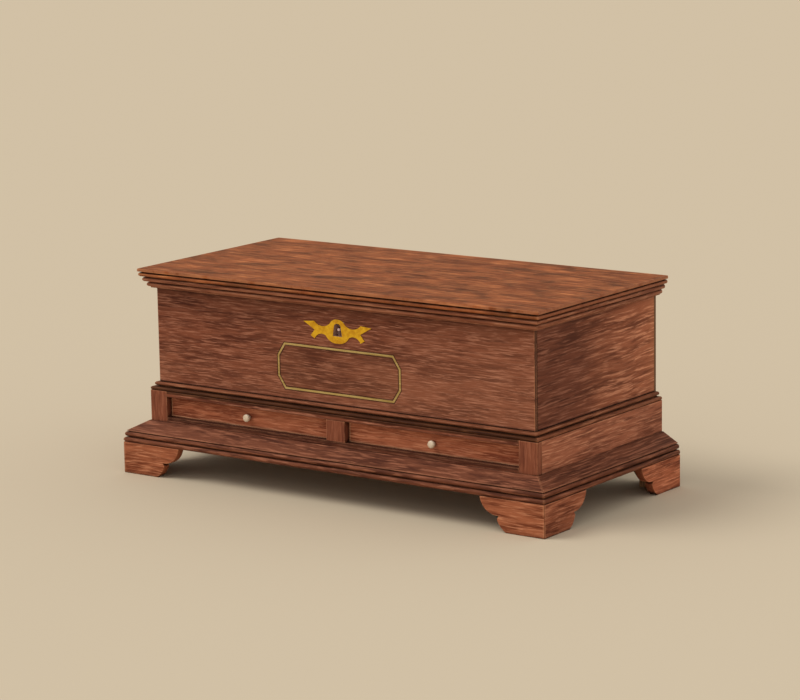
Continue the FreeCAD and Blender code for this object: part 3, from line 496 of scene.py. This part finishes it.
def line_surround(tree, place, colour):
    """A coat that darkens the field inside the line a little, and the wood along both its edges much."""
    field_tint = shade(242, 242, 240)
    edge_strength = 0.85
    middle = (0.0, 0.0, (line_low.z + line_high.z) / 2)
    half_size = (line_high.x, 0.0, (line_high.z - line_low.z) / 2)
    slant = (line_corner_x ** 2 + line_corner_z ** 2) ** 0.5
    corner_direction = (line_corner_z / slant, 0.0, line_corner_x / slant)
    folded = vector_sum(tree, "ABSOLUTE", vector_sum(tree, "SUBTRACT", place, middle))
    beyond = vector_sum(tree, "SUBTRACT", folded, half_size)
    split = add_node(tree, "SeparateXYZ", {0: beyond})
    lean = add_node(tree, "VectorMath", {0: beyond, 1: corner_direction}, operation="DOT_PRODUCT")
    past_corner = arithmetic(tree, "ADD", lean.outputs["Value"], line_corner_x * line_corner_z / slant)
    past_sides = arithmetic(tree, "MAXIMUM", split.outputs["X"], split.outputs["Z"])
    outside = arithmetic(tree, "MAXIMUM", past_sides, past_corner)
    field = step_between(tree, outside, -0.0075, -0.0105)
    from_inside = step_between(tree, outside, -0.0105, -0.0075)
    from_outside = step_between(tree, outside, 0.0040, 0.0020)
    colour = blend_colours(tree, field, colour, field_tint, "MULTIPLY")
    # The dark lines along both edges of the line are glue and dirt, widened with painted shade inside.
    edges = arithmetic(tree, "MULTIPLY", from_inside, from_outside)
    return lay_over(tree, colour, grime_and_shade_brown, edges, edge_strength)


well = (Vector((-0.6285, -0.2545, 0.2595)), Vector((0.6285, 0.3225, 0.5800)))
keyway = (Vector((-0.0200, -0.2730, 0.4560)), Vector((0.0200, -0.2500, 0.4990)))
chest_dirt_and_shade_reach = 0.035
down_right = (0.25, 0.0, -1.0)
up_left = (-0.05, 0.0, 1.0)
to_front = (0.0, -1.0, 0.0)
# Painted light toward the lower right of the front, and painted shade high on the front under the lid.
painted_light_low = graded_coat(down_right, start=-0.62, end=-0.20, drift=0.35, tint=shade(74, 48, 34), mode="SCREEN")
painted_shade_high = graded_coat(up_left, start=0.44, end=0.56, drift=0.10, tint=shade(222, 222, 222))
seam_dark = graded_coat(downward, start=-0.2700, end=-0.2665, drift=0.002, tint=shade(110, 96, 84))
# Painted light on the sides, growing toward the back and strongest on a strip at the back edge.
painted_light_rear = graded_coat(to_back, start=-0.12, end=0.30, drift=0.35, tint=(2.35, 2.60, 2.42, 1.0))
painted_light_rear_strip = graded_coat(to_back, start=0.285, end=0.330, drift=0.03, tint=shade(72, 46, 26), mode="SCREEN")
corner_dark = graded_coat(to_front, start=0.2600, end=0.2630, drift=0.003, tint=shade(120, 108, 96))
# Keyhole walls painted pale over their darkening: partly wear from the key, partly painted light in the
# hole.
chest_front_wood = wood_finish(
    "chest_wood_x", along_x, case_tones, coats=(painted_light_low, painted_shade_high, seam_dark),
    end_colour=shade(66, 36, 23), over_coats=(line_surround, bare_within(well, along_x)),
    last_coats=(tinted_inside(keyway, shade(176, 140, 126), strength=1.0),),
    wear=0.75, reach=chest_dirt_and_shade_reach, stretch=(1.25, 1.45, 1.45),
)
chest_side_wood = wood_finish(
    "chest_wood_y", along_y, stain((82, 40, 26), (120, 66, 46), (156, 99, 76)),
    coats=(painted_light_rear, painted_light_rear_strip, seam_dark, corner_dark), over_coats=(bare_within(well, along_y),),
    reach=chest_dirt_and_shade_reach, stretch=(0.45, 0.80, 0.80),
)
chest_back_wood = wood_finish(
    "aged_back_wood", along_x, aged_tones, over_coats=(bare_within(well, along_x),),
    worn=rubbed_bare, wear=0.3, dirt_and_shade=0.6,
)
dress("front_board", chest_front_wood)
dress("back_board", chest_back_wood)
for side in ("left", "right"):
    dress(f"{side}_side_board", chest_side_wood)
dress("chest_floor", plain_along_x)


# Octagonal line: a strip of pale wood let into the front board, glued and scraped flush.
# It has yellowed under the varnish, and its joints with the board hold a dark line of glue and dirt,
# widened on the inner side with painted shade.

line_tones = stain((156, 124, 58), (184, 152, 86), (202, 174, 112))
line_wood = wood_finish(
    "line_wood", along_x, line_tones, worn=line_tones[-1], grime_and_shade=shade(88, 64, 30),
    wear=0.2, dirt_and_shade=0.6, reach=0.006,
)
no_arris = 0.0
dress("front_line", line_wood, no_arris)


# Keyhole plate: sheet brass sawn to a winged outline round the keyhole and held by four small square pins.
# Old brass gone ochre in patches, with dirt and painted shade in its corners.

def aged_metal(name, bright, dull, dirt_and_shade_colour, metallic, smooth, rough, scale,
               rubbed_and_lit_room=None, rubbed=None):
    """A metal with soft patches of tarnish, a darkening in its corners that is both soiling and painted
    shade, and fine unevenness from the hammer.

    Inside the room given, if there is one, the metal is painted to another colour and has lost its gloss,
    partly as rubbing and partly as a painted highlight.
    """
    dirt_and_shade_strength = 0.8
    hammer_fineness = 4
    material = bpy.data.materials.new(name)
    material.use_nodes = True
    tree = material.node_tree
    surface = tree.nodes["Principled BSDF"]
    place = add_node(tree, "TexCoord").outputs["Object"]
    patches = add_node(tree, "TexNoise", {"Vector": place, "Scale": scale, "Detail": 4.0, "Roughness": 0.6})
    tarnish = step_between(tree, patches.outputs["Fac"], 0.36, 0.64)
    colour = blend_colours(tree, tarnish, bright, dull)
    dirt_and_shade_mask = place_group(tree, grime_and_painted_shade, {"Vector": place, "Reach": 0.006})
    colour = lay_over(tree, colour, dirt_and_shade_colour, dirt_and_shade_mask.outputs["Mask"], dirt_and_shade_strength)
    surface.inputs["Metallic"].default_value = metallic
    if rubbed_and_lit_room is not None:
        inner = inside_mask(tree, place, rubbed_and_lit_room)
        colour = blend_colours(tree, inner, colour, rubbed)
        unrubbed = arithmetic(tree, "SUBTRACT", 1.0, inner)
        tree.links.new(arithmetic(tree, "MULTIPLY", unrubbed, metallic), surface.inputs["Metallic"])
    tree.links.new(colour, surface.inputs["Base Color"])
    gloss = add_node(tree, "MapRange", {"Value": tarnish, "To Min": smooth, "To Max": rough})
    tree.links.new(gloss.outputs["Result"], surface.inputs["Roughness"])
    hammer_scale = scale * hammer_fineness
    hammered = add_node(tree, "TexNoise", {"Vector": place, "Scale": hammer_scale, "Detail": 3.0})
    unevenness = hammered.outputs["Fac"]
    relief = add_node(tree, "Bump", {"Height": unevenness, "Strength": 0.25, "Distance": 0.0008})
    tree.links.new(relief.outputs["Normal"], surface.inputs["Normal"])
    return material


plate_arris = 0.0004
nail_arris = 0.0003
old_brass = aged_metal(
    "old_brass", shade(242, 190, 36), shade(216, 158, 20), shade(92, 64, 14),
    metallic=0.6, smooth=0.36, rough=0.5, scale=60.0,
)
dress("keyhole_plate", old_brass, plate_arris)
dress("keyhole_plate_pins", old_brass, nail_arris)


# Lock: an iron box on the inside of the front board with a key pin, a bolt, and a staple under the lid.
# Wrought iron, black from the forge with a little brown rust, and pale inside the key well, partly worn by
# the key and partly a painted highlight on the key pin.

lock_case_arris = 0.0005
iron_surface = {"metallic": 0.7, "smooth": 0.48, "rough": 0.68, "scale": 45.0}
wrought_iron = aged_metal(
    "wrought_iron", shade(60, 55, 52), shade(74, 54, 42), shade(26, 20, 17), **iron_surface
)
key_well = (Vector((-0.0180, -0.2800, 0.4600)), Vector((0.0180, -0.2360, 0.4960)))
# Inside the key well the iron is painted pale: partly worn by the key, partly a painted highlight on the
# pin.
lock_iron = aged_metal(
    "lock_iron", shade(72, 66, 62), shade(84, 64, 52), shade(30, 24, 20),
    rubbed_and_lit_room=key_well, rubbed=shade(214, 186, 180), **iron_surface,
)
dress("lock_case", lock_iron, lock_case_arris)
dress("lock_bolt", wrought_iron, plate_arris)
dress("lock_staple", wrought_iron, plate_arris)


# Hinges: two iron pairs, each with a leaf nailed to the back board and a leaf let into the lid, on a pin.
# The same wrought iron as the lock, with hand-made nails.

for fitting in ("back_hinge_leaves", "lid_hinge_leaves"):
    dress(fitting, wrought_iron, plate_arris)
for fitting in ("hinge_pins", "back_hinge_nails", "lid_hinge_nails"):
    dress(fitting, wrought_iron, nail_arris)


# Lid: one wide board with a moulded edge, and mitred mouldings under its front and ends.
# The top is orange-brown, stained unevenly and rubbed along its edges; its underside was left bare.

def uneven_stain(tree, place, colour):
    """A coat in patches, where the stain lies thick or has been rubbed thin."""
    patch_size = (9.0, 17.0, 17.0)
    thick_tint = (0.54, 0.55, 0.56, 1.0)
    thin_tint = (1.45, 1.54, 1.60, 1.0)
    spread = add_node(tree, "Mapping", {"Vector": place, "Scale": patch_size})
    cloud = add_node(
        tree, "TexNoise", {"Vector": spread.outputs[0], "Scale": 1.0, "Detail": 3.0, "Roughness": 0.6}
    )
    thick = step_between(tree, cloud.outputs["Fac"], 0.48, 0.32)
    thin = step_between(tree, cloud.outputs["Fac"], 0.52, 0.68)
    colour = blend_colours(tree, thick, colour, thick_tint, "MULTIPLY")
    return blend_colours(tree, thin, colour, thin_tint, "MULTIPLY")


under_lid = (Vector((-0.6485, -0.2745, 0.5000)), Vector((0.6485, 0.3450, 0.5770)))
lid_wood = wood_finish(
    "lid_wood_x", along_x, stain((104, 50, 23), (146, 76, 37), (184, 113, 65)), coats=(uneven_stain,),
    end_colour=shade(146, 84, 58), over_coats=(bare_within(under_lid, along_x),),
    wear=0.8, edge=0.008, stretch=(0.7, 0.8, 0.8),
)
lid_moulding_tones = stain((124, 70, 48), (164, 102, 74), (190, 130, 98))
lid_moulding_along_x = wood_finish("lid_moulding_wood_x", along_x, lid_moulding_tones, **moulding_wear_and_shade)
lid_moulding_along_y = wood_finish("lid_moulding_wood_y", along_y, lid_moulding_tones, **moulding_wear_and_shade)
dress("lid_board", lid_wood)
dress("lid_front_moulding", lid_moulding_along_x, moulding_arris)
for side in ("left", "right"):
    dress(f"lid_{side}_moulding", lid_moulding_along_y, moulding_arris)


# Drawers: two long shallow boxes, dovetailed at the corners, with a bottom board slid into grooves.
# Only the fronts are stained, redder than the chest, with pale rims along their bottom and side edges that
# are partly rubbed wear and partly painted highlight; the sides, the backs and the bottoms are bare.

drawer_tones = stain((118, 56, 34), (180, 104, 71), (208, 134, 98))
rubbed_and_lit_rim = shade(112, 84, 62)
rim_drift = 0.004
rim_end = 0.0030
side_rim_start = 0.0055
bottom_rim_start = 0.0050
stained_depth = 0.0060
drawer_back_arris = 0.0008
to_right = (1.0, 0.0, 0.0)
to_left = (-1.0, 0.0, 0.0)
for side in ("left", "right"):
    front_low, front_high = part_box(f"{side}_drawer_front")
    box_room = (Vector((-0.700, front_low.y + stained_depth, 0.100)), Vector((0.700, 0.400, 0.300)))
    # Pale rims on the bottom and side edges of each front: partly rubbed wear, partly painted highlight.
    rims = []
    for direction, rim, start in (
        (downward, -front_low.z, bottom_rim_start),
        (to_right, front_high.x, side_rim_start),
        (to_left, -front_low.x, side_rim_start),
    ):
        rims.append(graded_coat(
            direction, start=rim - start, end=rim - rim_end, drift=rim_drift, tint=rubbed_and_lit_rim, mode="SCREEN"
        ))
    front_wood = wood_finish(
        f"{side}_drawer_front_wood", along_x, drawer_tones, coats=rims,
        over_coats=(bare_within(box_room, along_x),), dirt_and_shade=0.5, reach=0.008, stretch=(1.2, 1.3, 1.3),
    )
    dress(f"{side}_drawer_front", front_wood)
    dress(f"{side}_drawer_left_side", plain_along_y)
    dress(f"{side}_drawer_right_side", plain_along_y)
    dress(f"{side}_drawer_back", plain_along_x, drawer_back_arris)
    dress(f"{side}_drawer_bottom", plain_along_x)


# Knobs: small turned bone buttons on a neck, glued into the drawer fronts.
# Cream, yellowed in patches, with faint dark pores, dirt and painted shade round the neck and a soft
# polish.

def turned_bone():
    """Old bone: pores drawn out along the length of the turning, yellowing, and a little darkening in its
    creases that is both soiling and painted shade.
    """
    dirt_and_shade_strength = 0.7
    material = bpy.data.materials.new("turned_bone")
    material.use_nodes = True
    tree = material.node_tree
    surface = tree.nodes["Principled BSDF"]
    place = add_node(tree, "TexCoord").outputs["Object"]
    stretched = add_node(tree, "Mapping", {"Vector": place, "Scale": (700.0, 160.0, 700.0)})
    grain = add_node(tree, "TexNoise", {"Vector": stretched.outputs[0], "Scale": 1.0, "Detail": 3.0})
    pores = step_between(tree, grain.outputs["Fac"], 0.60, 0.72)
    cloud = add_node(tree, "TexNoise", {"Vector": place, "Scale": 90.0, "Detail": 2.0})
    yellowed = step_between(tree, cloud.outputs["Fac"], 0.35, 0.65)
    colour = blend_colours(tree, yellowed, shade(230, 210, 184), shade(210, 186, 156))
    colour = blend_colours(tree, pores, colour, shade(162, 130, 100))
    dirt_and_shade_mask = place_group(tree, grime_and_painted_shade, {"Vector": place, "Reach": 0.008})
    colour = lay_over(tree, colour, shade(110, 78, 46), dirt_and_shade_mask.outputs["Mask"], dirt_and_shade_strength)
    tree.links.new(colour, surface.inputs["Base Color"])
    gloss = add_node(tree, "MapRange", {"Value": pores, "To Min": 0.30, "To Max": 0.55})
    tree.links.new(gloss.outputs["Result"], surface.inputs["Roughness"])
    relief = add_node(tree, "Bump", {"Height": grain.outputs["Fac"], "Strength": 0.15, "Distance": 0.0002})
    tree.links.new(relief.outputs["Normal"], surface.inputs["Normal"])
    return material


bone = turned_bone()
turning_steps = 48
profile_length = 0.450
# Each ring has a share of the radius and a place along the profile, from the tip to the drawer front.
knob_profile = [
    (0.30, 0.001), (0.55, 0.006), (0.78, 0.020), (0.93, 0.045), (0.995, 0.085), (1.00, 0.130),
    (0.97, 0.185), (0.88, 0.235), (0.74, 0.275), (0.62, 0.305), (0.56, 0.345), (0.54, 0.400),
    (0.55, profile_length),
]


def turned_knob(name, node, drawer_front):
    """A button on a waisted neck, turned from its profile in the place of its solid."""
    low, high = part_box(node)
    centre_x = (low.x + high.x) / 2
    centre_z = (low.z + high.z) / 2
    radius = (high.x - low.x) / 2
    drawer_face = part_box(drawer_front)[0].y
    length = drawer_face - low.y
    build = bmesh.new()
    rings = []
    for share, back in knob_profile:
        y = low.y + length * back / profile_length
        ring = []
        for index in range(turning_steps):
            angle = 2 * pi * index / turning_steps
            x = centre_x + radius * share * cos(angle)
            z = centre_z + radius * share * sin(angle)
            ring.append(build.verts.new((x, y, z)))
        rings.append(ring)
    tip = build.verts.new((centre_x, low.y, centre_z))
    for index in range(turning_steps):
        after = (index + 1) % turning_steps
        build.faces.new((tip, rings[0][index], rings[0][after]))
        for near, far in zip(rings, rings[1:]):
            build.faces.new((near[index], far[index], far[after], near[after]))
    build.faces.new(rings[-1])
    bmesh.ops.recalc_face_normals(build, faces=build.faces)
    for face in build.faces:
        face.smooth = len(face.verts) < turning_steps
    mesh = bpy.data.meshes.new(name)
    build.to_mesh(mesh)
    build.free()
    mesh.materials.append(bone)
    knob = bpy.data.objects.new(name, mesh)
    bpy.context.scene.collection.objects.link(knob)
    return knob


for side in ("left", "right"):
    knob = turned_knob(f"{side}_turned_knob", f"{side}_drawer_knob", f"{side}_drawer_front")
    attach(knob, f"{side}_drawer")
    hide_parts(f"{side}_drawer_knob")


# Studio: a plain paper-coloured floor that runs out of sight, an even sky and one broad soft lamp.
# The lamp stands high on the left in front, so the lid is lightest and the right side is in half shade.

paper = shade(208, 192, 166)
floor_reach = 45.0
floor_corners = [(x * floor_reach, y * floor_reach, 0) for x, y in ((-1, -1), (1, -1), (1, 1), (-1, 1))]
floor_mesh = bpy.data.meshes.new("floor")
floor_mesh.from_pydata(floor_corners, [], [(0, 1, 2, 3)])
floor = bpy.data.objects.new("floor", floor_mesh)
bpy.context.scene.collection.objects.link(floor)
floor_paper = bpy.data.materials.new("floor_paper")
floor_paper.use_nodes = True
floor_surface = floor_paper.node_tree.nodes["Principled BSDF"]
floor_surface.inputs["Base Color"].default_value = paper
floor_surface.inputs["Roughness"].default_value = 1.0
floor_surface.inputs["Specular IOR Level"].default_value = 0.0
floor_mesh.materials.append(floor_paper)

sky = bpy.data.worlds.new("studio")
sky.use_nodes = True
sky_tree = sky.node_tree
sky_light = sky_tree.nodes["Background"]
sky_light.inputs["Color"].default_value = (1.0, 0.99, 0.98, 1.0)
sky_light.inputs["Strength"].default_value = 0.72
sky_seen = add_node(sky_tree, "Background", {"Color": paper, "Strength": 1.0})
sky_ray = add_node(sky_tree, "LightPath")
sky_share = arithmetic(
    sky_tree, "MAXIMUM", sky_ray.outputs["Is Camera Ray"], sky_ray.outputs["Is Glossy Ray"]
)
sky_mix = add_node(sky_tree, "MixShader", {0: sky_share, 1: sky_light.outputs[0], 2: sky_seen.outputs[0]})
sky_tree.links.new(sky_mix.outputs[0], sky_tree.nodes["World Output"].inputs["Surface"])
bpy.context.scene.world = sky

lamp_data = bpy.data.lights.new("broad_lamp", "SUN")
lamp_data.energy = 1.20
lamp_data.angle = radians(32)
lamp_data.color = (1.0, 0.985, 0.96)
lamp = bpy.data.objects.new("broad_lamp", lamp_data)
lamp_from = Vector((-0.50, -0.38, 0.80))
lamp.rotation_euler = lamp_from.to_track_quat("Z", "Y").to_euler()
bpy.context.scene.collection.objects.link(lamp)


# Camera: a long lens in front and to the right, a little above the lid, with a slight tilt.
# It aims near the middle of the chest.

azimuth = radians(36.0)
elevation = radians(11.03)
tilt = radians(-1.0)
camera_distance = 8.531
chest_middle = Vector((0.0, 0.0, 0.35))
aim_aside = 0.0089
aim_above = 0.0252
toward_eye = Vector((sin(azimuth) * cos(elevation), -cos(azimuth) * cos(elevation), sin(elevation)))
level_right = Vector((cos(azimuth), sin(azimuth), 0.0))
level_up = toward_eye.cross(level_right)
camera_right = level_right * cos(tilt) + level_up * sin(tilt)
camera_up = level_up * cos(tilt) - level_right * sin(tilt)
aim = chest_middle + camera_right * aim_aside + camera_up * aim_above
eye = aim + toward_eye * camera_distance
camera_data = bpy.data.cameras.new("camera")
camera_data.sensor_width = 36.0
camera_data.lens = 135.0
camera = bpy.data.objects.new("camera", camera_data)
camera.matrix_world = Matrix((
    (camera_right.x, camera_up.x, toward_eye.x, eye.x),
    (camera_right.y, camera_up.y, toward_eye.y, eye.y),
    (camera_right.z, camera_up.z, toward_eye.z, eye.z),
    (0.0, 0.0, 0.0, 1.0),
))
bpy.context.scene.collection.objects.link(camera)
bpy.context.scene.camera = camera
bpy.context.scene.view_settings.view_transform = "Standard"
